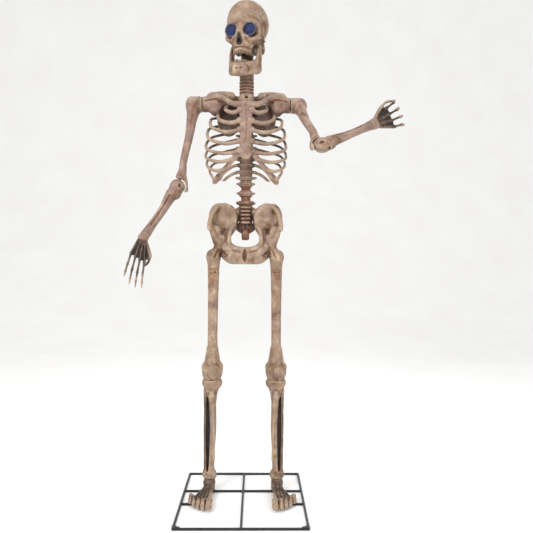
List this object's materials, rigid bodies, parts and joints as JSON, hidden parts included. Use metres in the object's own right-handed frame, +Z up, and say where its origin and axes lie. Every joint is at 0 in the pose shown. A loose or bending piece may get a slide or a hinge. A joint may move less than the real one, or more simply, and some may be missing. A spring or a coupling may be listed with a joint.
{
  "type": "halloween skeleton figure",
  "caption": "Giant posable plastic skeleton with round display eyes, held upright on a flat black steel-bar stand; arms, head and jaw move.",
  "frame": {"origin": "underside of the stand where the centre bar meets the cross bar, below the leg poles' line", "axes": "+Z up, -Y the way the figure faces, +X its own left side"},
  "size_m": [2.1226, 0.914, 3.6572],
  "materials": {
    "bone": "moulded, painted bone with brown wash",
    "stained_bone": "moulded, heavy orange-brown wash",
    "black_steel": "satin black powder coat",
    "zinc_steel": "zinc plated",
    "eye_display": "glossy dark blue display",
    "black_trim": "satin black plastic"
  },
  "bodies": {
    "stand": {"base_cross_bar": "black_steel", "base_front_bar": "black_steel", "base_back_bar": "black_steel", "base_centre_bar_front": "black_steel", "base_centre_bar_back": "black_steel", "base_side_bar_left": "black_steel", "base_side_bar_right": "black_steel", "base_foot_bar_left": "black_steel", "base_foot_bar_right": "black_steel", "base_corner_bracket_left": "black_steel", "base_corner_bracket_right": "black_steel", "leg_pole_left": "black_steel", "leg_pole_right": "black_steel", "spine_pole": "black_steel", "foot_left": "bone", "foot_right": "bone", "shin_left": "bone", "shin_right": "bone", "thigh_left": "bone", "thigh_right": "bone", "kneecap_left": "bone", "kneecap_right": "bone", "pelvis": "bone", "sacrum": "stained_bone", "lumbar_spine": "stained_bone", "chest_front": "bone", "chest_back": "bone", "neck": "stained_bone", "shoulder_axle_left": "zinc_steel", "shoulder_axle_right": "zinc_steel"},
    "head": {"skull": "bone", "eye_display_left": "eye_display", "eye_display_right": "eye_display", "eye_bezel_left": "black_trim", "eye_bezel_right": "black_trim", "battery_door": "bone", "battery_screw": "zinc_steel"},
    "jaw": {"jaw": "bone"},
    "switch": {"power_switch": "black_trim"},
    "left_upper_arm": {"upper_arm_left": "bone", "elbow_pin_left": "zinc_steel"},
    "left_button": {"shoulder_button_left": "black_trim"},
    "left_forearm": {"forearm_left": "bone"},
    "left_hand": {"hand_left": "bone"},
    "right_upper_arm": {"upper_arm_right": "bone", "elbow_pin_right": "zinc_steel"},
    "right_button": {"shoulder_button_right": "black_trim"},
    "right_forearm": {"forearm_right": "bone"},
    "right_hand": {"hand_right": "bone"}
  },
  "joints": [
    {"name": "left_shoulder", "type": "hinge", "parent": "stand", "child": "left_upper_arm", "pos_m": [0.327, 0, 2.881], "axis": [-1, 0, 0], "range_deg": [-75, 110]},
    {"name": "left_elbow", "type": "hinge", "parent": "left_upper_arm", "child": "left_forearm", "pos_m": [0.50795, -0.46462, 2.48136], "axis": [0, -0.6521, 0.7581], "range_deg": [-105, 3]},
    {"name": "left_wrist", "type": "hinge", "parent": "left_forearm", "child": "left_hand", "pos_m": [0.86625, -0.32101, 2.6592], "axis": [0.843, 0.3379, 0.4184], "range_deg": [-90, 90]},
    {"name": "left_shoulder_button", "type": "slide", "parent": "left_upper_arm", "child": "left_button", "axis": [0, -0.7581, -0.6521], "range_m": [0, 0.004], "stiffness_N_per_m": 800},
    {"name": "right_shoulder", "type": "hinge", "parent": "stand", "child": "right_upper_arm", "pos_m": [-0.327, 0, 2.881], "axis": [-1, 0, 0], "range_deg": [-30, 150]},
    {"name": "right_elbow", "type": "hinge", "parent": "right_upper_arm", "child": "right_forearm", "pos_m": [-0.50795, 0, 2.26816], "axis": [0, 1, 0], "range_deg": [-15, 92]},
    {"name": "right_wrist", "type": "hinge", "parent": "right_forearm", "child": "right_hand", "pos_m": [-0.73142, -0.04118, 1.909], "axis": [-0.5258, -0.0969, -0.8451], "range_deg": [-90, 90]},
    {"name": "right_shoulder_button", "type": "slide", "parent": "right_upper_arm", "child": "right_button", "axis": [0, 0, -1], "range_m": [0, 0.004], "stiffness_N_per_m": 800},
    {"name": "head_swivel", "type": "hinge", "parent": "stand", "child": "head", "pos_m": [0, 0.045, 3.098], "axis": [0, 0, 1], "range_deg": [-22, 68]},
    {"name": "jaw_hinge", "type": "hinge", "parent": "head", "child": "jaw", "pos_m": [-0.00799, -0.00129, 3.2995], "axis": [0.921, -0.386, -0.0521], "range_deg": [-12, 4]},
    {"name": "power_switch_slide", "type": "slide", "parent": "head", "child": "switch", "axis": [0.921, -0.386, -0.0521], "range_m": [0, 0.008]}
  ]
}
